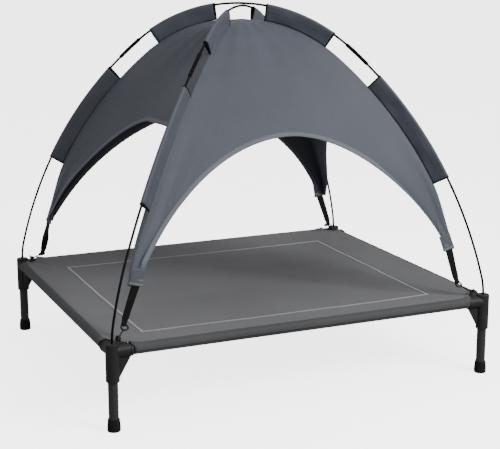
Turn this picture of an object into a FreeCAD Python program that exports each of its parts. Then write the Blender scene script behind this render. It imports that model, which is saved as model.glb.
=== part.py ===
import FreeCAD, Part
import math
import os
import Sketcher

# Raised dog bed with a pop-up canopy: four moulded corner brackets on tube legs hold four
# rail tubes inside the sleeves of a stretched bed sheet, and two crossed, shock-corded poles
# stand in the brackets and carry a cloth canopy that elastic straps hook down at each corner.
# The origin is the middle of the floor, +X along the long side, +Y to the back, +Z up.

os.makedirs("parts", exist_ok=True)
doc = FreeCAD.newDocument("dog_bed")

dimensions = {
    "hub_spacing_x": 1182.0, "hub_spacing_y": 992.0, "hub_top": 250.0, "hub_bottom": 143.0,
    "hub_radius": 19.0, "tube_radius": 14.0, "tube_wall": 1.5, "fit_gap": 0.05,
    "rail_height": 228.0, "arm_radius": 17.5, "arm_length": 57.0, "arm_rim_radius": 19.0,
    "arm_rim_width": 7.0, "rail_stop": 22.0, "leg_socket_depth": 60.0,
    "web_thickness": 7.0, "web_reach": 46.0, "web_top": 246.0,
    "gusset_thickness": 7.0, "gusset_low": 152.0, "gusset_inner": 8.0, "gusset_top": 222.0,
    "gusset_reach": 53.0, "gusset_shoulder": 211.0,
    "eye_reach": 37.0, "eye_height": 254.0, "eye_width": 14.0, "eye_thickness": 6.0,
    "eye_hole": 4.2, "eye_base": 243.0, "rim_round": 1.8,
    "tip_radius": 4.5, "tip_length": 44.0, "tip_grip": 26.0,
    "foot_radius": 18.5, "foot_neck": 16.6, "foot_tall": 35.0, "foot_floor": 4.0,
    "foot_chamfer": 1.2, "leg_play": 1.0, "leg_seat": 0.02, "rail_play": 0.5, "sleeve_play": 1.0,
    "sleeve_gap": 0.3, "sleeve_wall": 1.2, "sheet_edge": 13.0, "sheet_thickness": 1.2,
    "sheet_edge_top": 241.0, "sheet_flat_top": 231.5, "sheet_flat_x": 480.0,
    "sheet_flat_y": 396.0, "sheet_corner": 50.0, "sheet_flat_cut": 6.0,
    "stripe_x": 475.0, "stripe_y": 389.0, "stripe_width": 10.0, "stripe_thickness": 0.6,
    "stripe_lift": 0.3,
    "pole_radius": 3.5, "pole_bore": 1.7, "cord_radius": 1.2, "section_gap": 1.0,
    "ferrule_radius": 5.6, "ferrule_length": 87.0,
    "apex_long": 1114.0, "apex_short": 1106.0,
    "fin_depth": 45.0, "fin_pole_gap": 4.3, "fin_thickness": 1.4,
    "panel_thickness": 1.2, "panel_seam_gap": 1.3, "crown_start": 24.0,
    "tail_reach": 664.0, "tail_top": 428.0, "tail_bow": 4.0, "arch_spring": 384.0,
    "arch_drop": 84.0, "arch_reach": 900.0,
    "band_width": 40.0, "band_thickness": 3.0, "band_reach": 679.0, "band_bottom": 386.0,
    "band_shift": 19.0, "band_gap": 1.0,
    "strap_width_top": 25.0, "strap_width_low": 19.0, "strap_thickness": 2.2, "strap_gap": 0.9,
    "hook_wire": 2.0, "hook_loop_wire": 2.5, "hook_bend": 7.0, "hook_stem": 31.0, "hook_loop": 9.5,
    "hook_lean": 64.0, "hook_turn": 138.0,
}

sheet = doc.addObject("Spreadsheet::Sheet", "sizes")
for row, (name, number) in enumerate(dimensions.items(), start=1):
    sheet.set(f"A{row}", name)
    sheet.set(f"B{row}", str(number))
    sheet.setAlias(f"B{row}", name)
doc.recompute()

corners = (("fl", -1, -1, 0.0), ("fr", 1, -1, 90.0), ("br", 1, 1, 180.0), ("bl", -1, 1, 270.0))
subparts = []


def size(name):
    return float(sheet.get(name))


def cell(name):
    return size(name), "sizes." + name


def plus(first, second):
    return first[0] + second[0], first[1] + " + " + second[1]


def minus(first, second):
    return first[0] - second[0], first[1] + " - (" + second[1] + ")"


def keep(piece, name):
    piece.Label = name
    subparts.append(piece)
    return piece


def keepShape(name, shape, place=None):
    piece = doc.addObject("Part::Feature", name)
    piece.Shape = shape
    piece.Placement = place or FreeCAD.Placement()
    return keep(piece, name)


def hubPoint(sideX, sideY, height=0.0):
    return FreeCAD.Vector(sideX * size("hub_spacing_x") / 2, sideY * size("hub_spacing_y") / 2, height)


def addSketch(body, name, role, lift=None):
    sketch = body.newObject("Sketcher::SketchObject", name)
    plane = [item for item in body.Origin.OriginFeatures if item.Role == role][0]
    sketch.AttachmentSupport = (plane, [""])
    sketch.MapMode = "FlatFace"
    if lift:
        sketch.AttachmentOffset = FreeCAD.Placement(FreeCAD.Vector(0, 0, lift[0]), FreeCAD.Rotation())
        sketch.setExpression("AttachmentOffset.Base.z", lift[1])
    return sketch


def bind(sketch, constraint, expression):
    sketch.setExpression(f"Constraints[{sketch.addConstraint(constraint)}]", expression)


def addCircle(sketch, radius, centreX=None, centreY=None):
    place = FreeCAD.Vector(centreX[0] if centreX else 0, centreY[0] if centreY else 0, 0)
    index = sketch.addGeometry(Part.Circle(place, FreeCAD.Vector(0, 0, 1), radius[0]))
    bind(sketch, Sketcher.Constraint("Radius", index, radius[0]), radius[1])
    if centreX:
        bind(sketch, Sketcher.Constraint("DistanceX", -1, 1, index, 3, centreX[0]), centreX[1])
    else:
        sketch.addConstraint(Sketcher.Constraint("PointOnObject", index, 3, -2))
    if centreY:
        bind(sketch, Sketcher.Constraint("DistanceY", -1, 1, index, 3, centreY[0]), centreY[1])
    else:
        sketch.addConstraint(Sketcher.Constraint("PointOnObject", index, 3, -1))


def addOutline(sketch, corner):
    # A closed outline of straight lines whose corners are bound to the sheet.
    spots = [FreeCAD.Vector(across[0], up[0], 0) for across, up in corner]
    count = len(spots)
    for index in range(count):
        sketch.addGeometry(Part.LineSegment(spots[index], spots[(index + 1) % count]))
    for index in range(count):
        sketch.addConstraint(Sketcher.Constraint("Coincident", index, 2, (index + 1) % count, 1))
    for index, (across, up) in enumerate(corner):
        bind(sketch, Sketcher.Constraint("DistanceX", -1, 1, index, 1, across[0]), across[1])
        bind(sketch, Sketcher.Constraint("DistanceY", -1, 1, index, 1, up[0]), up[1])


def addPad(body, name, sketch, length, midplane=False, flip=False):
    pad = body.newObject("PartDesign::Pad", name)
    pad.Profile = sketch
    pad.setExpression("Length", length[1])
    pad.Midplane = midplane
    pad.Reversed = flip
    doc.recompute()
    return pad


def addPocket(body, name, sketch, depth, flip):
    before = body.Shape.Volume
    pocket = body.newObject("PartDesign::Pocket", name)
    pocket.Profile = sketch
    pocket.setExpression("Length", depth[1])
    pocket.Reversed = flip
    doc.recompute()
    if not body.Shape.Volume < before - 1:
        raise RuntimeError(name + " removed nothing")
    return pocket


def cornerBracket(name, sideX, sideY, angle):
    # The two arms leave the hub along the bracket's own +X and +Y.
    body = doc.addObject("PartDesign::Body", name)
    hub = addSketch(body, name + "_hub", "XY_Plane", cell("hub_bottom"))
    addCircle(hub, cell("hub_radius"))
    addPad(body, name + "_hub_pad", hub, minus(cell("hub_top"), cell("hub_bottom")))
    for tag, role in (("x", "YZ_Plane"), ("y", "XZ_Plane")):
        outward = role == "XZ_Plane"
        arm = addSketch(body, f"{name}_arm_{tag}", role)
        addCircle(arm, cell("arm_radius"), None, cell("rail_height"))
        addPad(body, f"{name}_arm_pad_{tag}", arm, cell("arm_length"), flip=outward)
        start = minus(cell("arm_length"), cell("arm_rim_width"))
        if outward:
            start = minus(cell("arm_rim_width"), cell("arm_length"))
        rim = addSketch(body, f"{name}_rim_{tag}", role, start)
        addCircle(rim, cell("arm_rim_radius"), None, cell("rail_height"))
        addPad(body, f"{name}_rim_pad_{tag}", rim, cell("arm_rim_width"), flip=outward)
    gussetEdge = [(cell("gusset_inner"), cell("gusset_low")), (cell("hub_radius"), cell("gusset_low")),
                  (cell("gusset_reach"), cell("gusset_shoulder")), (cell("gusset_reach"), cell("gusset_top")),
                  (cell("gusset_inner"), cell("gusset_top"))]
    for tag, role in (("x", "XZ_Plane"), ("y", "YZ_Plane")):
        gusset = addSketch(body, f"{name}_gusset_{tag}", role)
        addOutline(gusset, gussetEdge)
        addPad(body, f"{name}_gusset_pad_{tag}", gusset, cell("gusset_thickness"), midplane=True)
    web = addSketch(body, name + "_web", "XY_Plane", minus(cell("web_top"), cell("web_thickness")))
    nearEdge = cell("gusset_inner")
    addOutline(web, [(nearEdge, nearEdge), (cell("web_reach"), nearEdge), (nearEdge, cell("web_reach"))])
    addPad(body, name + "_web_pad", web, cell("web_thickness"))
    addEye(body, name)
    legSocket = addSketch(body, name + "_leg_socket", "XY_Plane", cell("hub_bottom"))
    addCircle(legSocket, plus(cell("tube_radius"), cell("fit_gap")))
    addPocket(body, name + "_leg_bore", legSocket, cell("leg_socket_depth"), True)
    poleSocket = addSketch(body, name + "_pole_socket", "XY_Plane", cell("hub_top"))
    addCircle(poleSocket, plus(cell("tip_radius"), cell("fit_gap")))
    addPocket(body, name + "_pole_bore", poleSocket, plus(cell("tip_length"), cell("section_gap")), False)
    for tag, role in (("x", "YZ_Plane"), ("y", "XZ_Plane")):
        start = cell("arm_length") if tag == "x" else minus((0.0, "0"), cell("arm_length"))
        bore = addSketch(body, f"{name}_rail_socket_{tag}", role, start)
        addCircle(bore, plus(cell("tube_radius"), cell("fit_gap")), None, cell("rail_height"))
        depth = minus(cell("arm_length"), cell("rail_stop"))
        addPocket(body, f"{name}_rail_bore_{tag}", bore, depth, tag == "y")
    roundTopEdge(body, name)
    body.Placement = FreeCAD.Placement(hubPoint(sideX, sideY), FreeCAD.Rotation(angle, 0, 0))
    return keep(body, name)


def addEye(body, name):
    # An upright lug on the web, turned to face the middle of the bed, with a round top and hole.
    face = addSketch(body, name + "_eye", "YZ_Plane")
    face.AttachmentOffset = FreeCAD.Placement(FreeCAD.Vector(0, 0, 0),
                                              FreeCAD.Rotation(FreeCAD.Vector(0, 1, 0), 45.0))
    face.setExpression("AttachmentOffset.Base.z", "(sizes.eye_reach - sizes.eye_thickness / 2) * cos(45 deg)")
    face.setExpression("AttachmentOffset.Base.x", "(sizes.eye_reach - sizes.eye_thickness / 2) * sin(45 deg)")
    half = size("eye_width") / 2
    top = size("eye_height")
    base = size("eye_base")
    face.addGeometry(Part.LineSegment(FreeCAD.Vector(half, base, 0), FreeCAD.Vector(half, top, 0)))
    face.addGeometry(Part.ArcOfCircle(Part.Circle(FreeCAD.Vector(0, top, 0), FreeCAD.Vector(0, 0, 1), half),
                                      0, math.pi))
    face.addGeometry(Part.LineSegment(FreeCAD.Vector(-half, top, 0), FreeCAD.Vector(-half, base, 0)))
    face.addGeometry(Part.LineSegment(FreeCAD.Vector(-half, base, 0), FreeCAD.Vector(half, base, 0)))
    for first, firstEnd, second, secondEnd in ((0, 2, 1, 1), (1, 2, 2, 1), (2, 2, 3, 1), (3, 2, 0, 1)):
        face.addConstraint(Sketcher.Constraint("Coincident", first, firstEnd, second, secondEnd))
    face.addConstraint(Sketcher.Constraint("Vertical", 0))
    face.addConstraint(Sketcher.Constraint("Vertical", 2))
    face.addConstraint(Sketcher.Constraint("Horizontal", 3))
    face.addConstraint(Sketcher.Constraint("PointOnObject", 1, 3, -2))
    bind(face, Sketcher.Constraint("Radius", 1, half), "sizes.eye_width / 2")
    bind(face, Sketcher.Constraint("DistanceY", -1, 1, 1, 3, top), "sizes.eye_height")
    bind(face, Sketcher.Constraint("DistanceY", -1, 1, 0, 1, base), "sizes.eye_base")
    addCircle(face, cell("eye_hole"), None, cell("eye_height"))
    addPad(body, name + "_eye_pad", face, cell("eye_thickness"))


def roundTopEdge(body, name):
    # The rim of the hub's top and the outer rims of the two arms are softened.
    tip = body.Tip
    wanted = []
    for index, edge in enumerate(tip.Shape.Edges, start=1):
        curve = edge.Curve
        if curve.TypeId != "Part::GeomCircle":
            continue
        onTop = abs(curve.Center.z - size("hub_top")) < 0.01 and abs(curve.Radius - size("hub_radius")) < 0.01
        armEnd = max(curve.Center.x, curve.Center.y)
        onRim = abs(armEnd - size("arm_length")) < 0.01 and abs(curve.Radius - size("arm_rim_radius")) < 0.01
        if onTop or onRim:
            wanted.append(f"Edge{index}")
    fillet = body.newObject("PartDesign::Fillet", name + "_soft_rim")
    fillet.Base = (tip, wanted)
    fillet.setExpression("Radius", "sizes.rim_round")
    doc.recompute()


def plainTube(name, outer, inner, length, place):
    body = doc.addObject("PartDesign::Body", name)
    ring = addSketch(body, name + "_ring", "XY_Plane")
    addCircle(ring, outer)
    addCircle(ring, inner)
    addPad(body, name + "_pad", ring, length)
    body.Placement = place
    return keep(body, name)


def footCap(name, place):
    body = doc.addObject("PartDesign::Body", name)
    profile = addSketch(body, name + "_profile", "XZ_Plane")
    inner = plus(cell("tube_radius"), cell("fit_gap"))
    slant = cell("foot_chamfer")
    zero = (0.001, "0.001")    # just off the axis, so that the profile stays on one side of it
    addOutline(profile, [(zero, zero), (minus(cell("foot_radius"), slant), zero), (cell("foot_radius"), slant),
                         (cell("foot_radius"), cell("foot_neck")), (cell("foot_neck"), cell("foot_tall")),
                         (inner, cell("foot_tall")), (inner, cell("foot_floor")), (zero, cell("foot_floor"))])
    turn = body.newObject("PartDesign::Revolution", name + "_turn")
    turn.Profile = profile
    turn.ReferenceAxis = (profile, ["V_Axis"])
    turn.Angle = 360.0
    doc.recompute()
    body.Placement = place
    return keep(body, name)


def frameTubes():
    wallInner = minus(cell("tube_radius"), cell("tube_wall"))
    socketTop = plus(cell("hub_bottom"), cell("leg_socket_depth"))
    legLength = minus(minus(socketTop, cell("foot_floor")), cell("leg_play"))
    legFoot = size("foot_floor") + size("leg_seat")
    for corner, sideX, sideY, _ in corners:
        plainTube("leg_tube_" + corner, cell("tube_radius"), wallInner, legLength,
                  FreeCAD.Placement(hubPoint(sideX, sideY, legFoot), FreeCAD.Rotation()))
        footCap("foot_cap_" + corner, FreeCAD.Placement(hubPoint(sideX, sideY), FreeCAD.Rotation()))
    sleeveInner = plus(cell("tube_radius"), cell("sleeve_gap"))
    sleeveOuter = plus(sleeveInner, cell("sleeve_wall"))
    stop = plus(cell("rail_stop"), cell("rail_play"))
    clear = plus(cell("arm_length"), cell("sleeve_play"))
    runs = (("front", "x", 0, -1), ("back", "x", 0, 1), ("left", "y", -1, 0), ("right", "y", 1, 0))
    for side, axis, sideX, sideY in runs:
        along = FreeCAD.Vector(1, 0, 0) if axis == "x" else FreeCAD.Vector(0, 1, 0)
        spacing = "hub_spacing_" + axis
        turn = FreeCAD.Rotation(FreeCAD.Vector(0, 0, 1), along)
        middle = hubPoint(sideX, sideY, size("rail_height"))
        for name, outer, inner, (inset, insetText) in (
                ("rail_" + side, cell("tube_radius"), wallInner, stop),
                ("rail_sleeve_" + side, sleeveOuter, sleeveInner, clear)):
            length = (size(spacing) - 2 * inset, f"sizes.{spacing} - 2 * ({insetText})")
            place = FreeCAD.Placement(middle - along * (size(spacing) / 2 - inset), turn)
            plainTube(name, outer, inner, length, place)


def clippedRectangle(halfX, halfY, cut, height):
    loop = [(halfX, halfY - cut), (halfX - cut, halfY), (cut - halfX, halfY), (-halfX, halfY - cut),
            (-halfX, cut - halfY), (cut - halfX, -halfY), (halfX - cut, -halfY), (halfX, cut - halfY)]
    return Part.makePolygon([FreeCAD.Vector(x, y, height) for x, y in loop + loop[:1]])


def bedSheet():
    # A stretched sheet that dips from the rails to a flat middle; its corners are cut back.
    outerX = size("hub_spacing_x") / 2 - size("sheet_edge")
    outerY = size("hub_spacing_y") / 2 - size("sheet_edge")
    cut = size("sheet_corner")
    innerCut = size("sheet_flat_cut")
    dips = []
    for drop in (0.0, size("sheet_thickness")):
        rim = clippedRectangle(outerX, outerY, cut, size("sheet_edge_top") - drop)
        flat = clippedRectangle(size("sheet_flat_x"), size("sheet_flat_y"), innerCut,
                                size("sheet_flat_top") - drop)
        faces = [Part.Face(flat)]
        for rimEdge, flatEdge in zip(rim.Edges, flat.Edges):
            faces.append(Part.makeRuledSurface(rimEdge, flatEdge))
        dips.append((rim, faces))
    upper, lower = dips
    rimFaces = [Part.makeRuledSurface(a, b) for a, b in zip(upper[0].Edges, lower[0].Edges)]
    shell = Part.makeShell(upper[1] + lower[1] + rimFaces)
    shell.sewShape()
    solid = Part.makeSolid(shell)
    if solid.Volume < 0:
        solid.reverse()
    keepShape("bed_sheet", solid)


def bedStripe():
    # One light tape sewn round the flat middle of the sheet.
    outer = doc.addObject("Part::Box", "stripe_outer")
    inner = doc.addObject("Part::Box", "stripe_inner")
    for box, inset in ((outer, "0"), (inner, "sizes.stripe_width")):
        box.setExpression("Length", f"2 * (sizes.stripe_x - {inset})")
        box.setExpression("Width", f"2 * (sizes.stripe_y - {inset})")
        box.setExpression("Height", "sizes.stripe_thickness")
        box.setExpression("Placement.Base.x", f"-(sizes.stripe_x - {inset})")
        box.setExpression("Placement.Base.y", f"-(sizes.stripe_y - {inset})")
        box.setExpression("Placement.Base.z", "sizes.sheet_flat_top + sizes.stripe_lift")
    tape = doc.addObject("Part::Cut", "bed_stripe")
    tape.Base = outer
    tape.Tool = inner
    keep(tape, "bed_stripe")


class Arch:
    # Half of a bent pole in its own upright plane: four arcs that meet in tangents.
    # Each arc is (radius, start angle, end angle); the angle is the pole's slope below level,
    # from 0 at the apex to 90 where the pole stands upright in its socket.

    def __init__(self, apex, firstRadius, lastRadius, slopes, reach, foot):
        marks = [math.radians(slope) for slope in (0.0, *slopes, 90.0)]
        across = [math.sin(marks[i + 1]) - math.sin(marks[i]) for i in range(4)]
        down = [math.cos(marks[i]) - math.cos(marks[i + 1]) for i in range(4)]
        leftX = reach - firstRadius * across[0] - lastRadius * across[3]
        leftZ = apex - foot - firstRadius * down[0] - lastRadius * down[3]
        mixed = across[1] * down[2] - across[2] * down[1]
        second = (leftX * down[2] - across[2] * leftZ) / mixed
        third = (across[1] * leftZ - leftX * down[1]) / mixed
        self.radii = (firstRadius, second, third, lastRadius)
        self.marks = marks
        self.apex = apex

    def length(self):
        return sum(r * (self.marks[i + 1] - self.marks[i]) for i, r in enumerate(self.radii))

    def at(self, distance, inward=0.0):
        # The point at this distance along the pole, moved inward across it, and the slope there.
        x, z = 0.0, self.apex
        for index, radius in enumerate(self.radii):
            start = self.marks[index]
            span = self.marks[index + 1] - start
            last = index == len(self.radii) - 1
            slope = start + min(distance / radius, span if not last else distance / radius)
            slope = min(slope, self.marks[index + 1])
            if distance <= radius * span or last:
                x += radius * (math.sin(slope) - math.sin(start))
                z -= radius * (math.cos(start) - math.cos(slope))
                z -= max(0.0, distance - radius * span)
                return x - inward * math.sin(slope), z - inward * math.cos(slope), slope
            x += radius * (math.sin(self.marks[index + 1]) - math.sin(start))
            z -= radius * (math.cos(start) - math.cos(self.marks[index + 1]))
            distance -= radius * span

    def breaks(self, start, end):
        # The two ends and every change of radius between them.
        stops, walked = [start], 0.0
        for index, radius in enumerate(self.radii):
            walked += radius * (self.marks[index + 1] - self.marks[index])
            if start + 0.5 < walked < end - 0.5:
                stops.append(walked)
        return stops + [end]

    def edges(self, start, end, inward=0.0, place=None):
        made = []
        stops = self.breaks(start, end)
        for first, second in zip(stops[:-1], stops[1:]):
            points = [place(*self.at(t, inward)[:2]) for t in (first, (first + second) / 2, second)]
            if first >= self.length() - 0.5:
                made.append(Part.LineSegment(points[0], points[2]).toShape())
            else:
                made.append(Part.Arc(*points).toShape())
        return made


reachOut = math.hypot(size("hub_spacing_x"), size("hub_spacing_y")) / 2
archLong = Arch(size("apex_long"), 530.0, 225.0, (40.3, 63.8, 75.7), reachOut, size("hub_top"))
archShort = Arch(size("apex_short"), 315.0, 160.0, (39.3, 59.0, 72.5), reachOut, size("hub_top"))
# Distances along each arch, from the apex: where the cloth sleeves start and stop, and the joint.
longPole = {"arch": archLong, "sleeves": ((84.0, 312.0), (498.0, 867.0)), "joint": 404.0,
            "corners": ("bl", "fr"), "tag": "long"}
shortPole = {"arch": archShort, "sleeves": ((88.0, 255.0), (425.0, 812.0)), "joint": 340.0,
             "corners": ("fl", "br"), "tag": "short"}
cornerSide = {name: (sideX, sideY) for name, sideX, sideY, _ in corners}


def spokeOf(corner):
    # The level direction from the middle of the bed to this corner's hub.
    spoke = hubPoint(*cornerSide[corner])
    return spoke.normalize()


def placer(corner, aside=0.0):
    spoke = spokeOf(corner)
    level = FreeCAD.Vector(-spoke.y, spoke.x, 0) * aside
    return lambda out, height: spoke * out + level + FreeCAD.Vector(0, 0, height)


def pipe(edges, outer, inner=0.0):
    # A round bar, or a tube, along tangent arcs.
    path = Part.Wire(edges)
    start = edges[0].valueAt(edges[0].FirstParameter)
    heading = edges[0].tangentAt(edges[0].FirstParameter)
    shapes = []
    for radius in (outer, inner):
        if radius:
            ring = Part.Wire(Part.makeCircle(radius, start, heading))
            shapes.append(path.makePipeShell([ring], True, False))
    solid = shapes[0] if len(shapes) == 1 else shapes[0].cut(shapes[1])
    return solid.Solids[0] if solid.Solids else solid


def mirroredEdges(arch, reach, first, second):
    # From one corner over the apex to the other.
    outward = arch.edges(0.0, reach, 0.0, placer(second))
    inward = arch.edges(0.0, reach, 0.0, placer(first))
    return [reversedEdge(edge) for edge in reversed(inward)] + outward


def reversedEdge(edge):
    middle = edge.valueAt((edge.FirstParameter + edge.LastParameter) / 2)
    ends = [edge.valueAt(edge.LastParameter), edge.valueAt(edge.FirstParameter)]
    if edge.Curve.TypeId == "Part::GeomLine":
        return Part.LineSegment(*ends).toShape()
    return Part.Arc(ends[0], middle, ends[1]).toShape()


def bentPole(pole):
    arch = pole["arch"]
    joint = pole["joint"]
    outer, bore = size("pole_radius"), size("pole_bore")
    gap = size("section_gap") / 2
    foot = arch.length() + size("tip_grip") - gap
    keepShape(f"pole_{pole['tag']}_middle",
              pipe(mirroredEdges(arch, joint - gap, *pole["corners"]), outer, bore))
    cordReach = arch.length() + size("tip_grip") - 2 * gap
    keepShape("shock_cord_" + pole["tag"],
              pipe(mirroredEdges(arch, cordReach, *pole["corners"]), size("cord_radius")))
    for corner in pole["corners"]:
        place = placer(corner)
        keepShape("pole_section_" + corner, pipe(arch.edges(joint + gap, foot, 0.0, place), outer, bore))
        half = size("ferrule_length") / 2
        keepShape("pole_ferrule_" + corner,
                  pipe(arch.edges(joint - half, joint + half, 0.0, place), size("ferrule_radius"),
                       outer + size("fit_gap")))
        poleTip(corner)


def poleTip(corner):
    # A plug that seats in the bracket's socket and holds the end of the pole.
    name = "pole_tip_" + corner
    body = doc.addObject("PartDesign::Body", name)
    base = addSketch(body, name + "_base", "XY_Plane")
    addCircle(base, cell("tip_radius"))
    addPad(body, name + "_pad", base, cell("tip_length"))
    cup = addSketch(body, name + "_cup", "XY_Plane", cell("tip_length"))
    addCircle(cup, plus(cell("pole_radius"), cell("fit_gap")))
    addPocket(body, name + "_bore", cup, cell("tip_grip"), False)
    body.Placement = FreeCAD.Placement(hubPoint(*cornerSide[corner], size("hub_top") - size("tip_length")),
                                       FreeCAD.Rotation())
    keep(body, name)


def poleOf(corner):
    return longPole if corner in longPole["corners"] else shortPole


def sleeveFins(corner):
    # Two upright flaps that run beside the pole, one above its joint and one below.
    pole = poleOf(corner)
    arch = pole["arch"]
    half = size("fin_thickness") / 2
    flaps = []
    for start, end in pole["sleeves"]:
        place = placer(corner, -half)
        outer = arch.edges(start, end, size("fin_pole_gap"), place)
        inner = arch.edges(start, end, size("fin_depth"), place)
        ends = [Part.LineSegment(outer[0].firstVertex().Point, inner[0].firstVertex().Point).toShape(),
                Part.LineSegment(outer[-1].lastVertex().Point, inner[-1].lastVertex().Point).toShape()]
        border = Part.Wire(Part.__sortEdges__(outer + inner + ends))
        spoke = spokeOf(corner)
        flaps.append(Part.Face(border).extrude(FreeCAD.Vector(-spoke.y, spoke.x, 0) * 2 * half))
    keepShape("pole_sleeve_" + corner, Part.makeCompound(flaps))


def seamLine(corner):
    # The seam between two panels: level with the sleeve's inner edge, then down to the tail.
    pole = poleOf(corner)
    arch = pole["arch"]
    last = pole["sleeves"][1][1]
    start = size("crown_start")
    steps = 20
    line = []
    for step in range(steps + 1):
        out, height, _ = arch.at(start + (last - start) * step / steps, size("fin_depth") + 1.0)
        line.append((out, height))
    out, height = line[-1]
    reach, tail = size("tail_reach"), size("tail_top")
    line.append(((out + reach) / 2 + size("tail_bow"), (height + tail) / 2))
    line.append((reach, tail))
    return line


# Each opening: where its peak is, its half width and height, how full it is on the two sides of
# the peak, and how flat its top is.
archProfile = {
    "front": {"middle": 20.0, "half": 498.0, "peak": 748.0, "fullness": (1.9, 1.9), "top": 0.86},
    "back": {"middle": -20.0, "half": 498.0, "peak": 748.0, "fullness": (1.9, 1.9), "top": 0.86},
    "left": {"middle": -40.0, "half": 424.0, "peak": 780.0, "fullness": (5.0, 1.45), "top": 0.96},
    "right": {"middle": -40.0, "half": 424.0, "peak": 780.0, "fullness": (5.0, 1.45), "top": 0.96},
}
panelCorners = {"front": ("fl", "fr"), "back": ("br", "bl"), "left": ("bl", "fl"), "right": ("fr", "br")}
panelFacing = {"front": (0, -1), "back": (0, 1), "left": (-1, 0), "right": (1, 0)}


def archway(side):
    # A solid as tall and wide as the opening under one panel, to cut it out.
    arch = archProfile[side]
    half = arch["half"]
    spring = size("arch_spring")
    below = spring - size("arch_drop")
    steps = 28
    points = [(-half, below)]
    for step in range(steps + 1):
        share = math.cos(math.pi * (1 - step / steps))
        rise = (1 - abs(share) ** arch["fullness"][0 if share < 0 else 1]) ** arch["top"]
        across = share * half + arch["middle"] * (1 - abs(share))
        points.append((across, spring + (arch["peak"] - spring) * rise))
    points.append((half, below))
    faceX, faceY = panelFacing[side]
    spots = []
    for across, height in points + points[:1]:
        spots.append(FreeCAD.Vector(across if faceY else 0, across if faceX else 0, height))
    face = Part.Face(Part.makePolygon(spots))
    return face.extrude(FreeCAD.Vector(faceX, faceY, 0) * size("arch_reach"))


def canopyPanel(side):
    # One cloth gore between two seams, straight across at each level, with an archway cut out.
    lines = []
    gap = size("panel_seam_gap")
    first, second = panelCorners[side]
    for corner, aside in ((first, gap), (second, -gap)):
        place = placer(corner, aside)
        line = seamLine(corner)
        lines.append([place(out, height) for out, height in line])
    across = 8
    grid = []
    for start, end in zip(*lines):
        grid.append([start + (end - start) * (i / across) for i in range(across + 1)])
    surface = Part.BSplineSurface()
    surface.interpolate(grid)
    faceX, faceY = panelFacing[side]
    lean = FreeCAD.Vector(faceX, faceY, 1).normalize() * size("panel_thickness")
    cloth = surface.toShape().extrude(lean)
    cut = cloth.cut(archway(side))
    keepShape("canopy_panel_" + side, max(cut.Solids, key=lambda solid: solid.Volume))


def slab(low, high, widthLow, widthTop, thickness, aside):
    # A flat strip from the point low to the point high, as wide as stated along aside.
    along = (high - low).normalize()
    through = aside.cross(along).normalize() * (thickness / 2)
    wires = []
    for middle, width in ((low, widthLow), (high, widthTop)):
        half = aside * (width / 2)
        loop = [middle + half + through, middle - half + through, middle - half - through,
                middle + half - through]
        wires.append(Part.makePolygon(loop + loop[:1]))
    return Part.makeLoft(wires, True, True)


def tailWay(corner):
    # Each tail lies flat along the bed's long side, from its seam towards the middle.
    return FreeCAD.Vector(-cornerSide[corner][0], 0, 0)


def bandSpot(corner, out, height):
    # The middle of the sewn band at this height: beside the seam, on the front or back panel.
    return placer(corner)(out, height) + tailWay(corner) * size("band_shift")


def angleSpot(centre, radius, angle):
    return centre[0] + radius * math.sin(angle), centre[1] - radius * math.cos(angle)


def eyePlacer(corner):
    # The bracket's eye faces 45 degrees inward, and the hook hangs in a plane through it.
    sideX, sideY = cornerSide[corner]
    eye = FreeCAD.Vector(sideX, sideY, 0).normalize()
    hub = hubPoint(sideX, sideY)
    return lambda out, height: hub + eye * (out - reachOut) + FreeCAD.Vector(0, 0, height), eye


def hookPath(corner):
    # The hook's bend, the foot of its stem, which way the stem points, and the loop's middle.
    place, eye = eyePlacer(corner)
    centre = (reachOut - size("eye_reach"), size("eye_height") + size("hook_bend"))
    lean = math.radians(size("hook_lean"))
    foot = place(*angleSpot(centre, size("hook_bend"), lean - math.pi / 2))
    heading = FreeCAD.Vector(0, 0, math.cos(lean)) - eye * math.sin(lean)
    loopMiddle = foot + heading * (size("hook_stem") + size("hook_loop"))
    return place(*centre), foot, heading, loopMiddle


def strapHook(corner):
    # A bend that goes through the bracket's eye, a stem and the loop that holds the strap.
    _, eye = eyePlacer(corner)
    aside = FreeCAD.Vector(-eye.y, eye.x, 0)
    wire = size("hook_wire")
    centre, foot, heading, loopMiddle = hookPath(corner)
    disc = Part.Face(Part.Wire(Part.makeCircle(wire, foot, heading)))
    bend = disc.revolve(centre, aside, -size("hook_turn"))
    stem = Part.makeCylinder(wire, size("hook_stem"), foot, heading)
    across = heading.cross(tailWay(corner)).normalize()
    loop = Part.makeTorus(size("hook_loop"), size("hook_loop_wire"), loopMiddle, across)
    keepShape("strap_hook_" + corner, bend.fuse(stem).fuse(loop))


def cornerCloth(corner):
    # The sewn band under the tail, and the elastic strap that runs on to the hook.
    way = tailWay(corner)
    gap = size("band_gap")
    bandTop = bandSpot(corner, size("tail_reach") + gap / 2, size("tail_top") - gap)
    bandLow = bandSpot(corner, size("band_reach"), size("band_bottom"))
    width = size("band_width")
    keepShape("tail_band_" + corner, slab(bandLow, bandTop, width, width, size("band_thickness"), way))
    loopMiddle = hookPath(corner)[3]
    pull = (bandLow - loopMiddle).normalize()
    end = loopMiddle + pull * (size("hook_loop") + size("hook_loop_wire") + size("strap_gap"))
    start = bandLow - pull * (2 * gap)
    keepShape("elastic_strap_" + corner, slab(end, start, size("strap_width_low"), size("strap_width_top"),
                                              size("strap_thickness"), way))


for cornerName, sideX, sideY, angle in corners:
    cornerBracket("corner_bracket_" + cornerName, sideX, sideY, angle)
frameTubes()
bedSheet()
bedStripe()
for pole in (longPole, shortPole):
    bentPole(pole)
for cornerName in cornerSide:
    sleeveFins(cornerName)
    strapHook(cornerName)
    cornerCloth(cornerName)
for side in panelCorners:
    canopyPanel(side)
doc.recompute()

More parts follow.
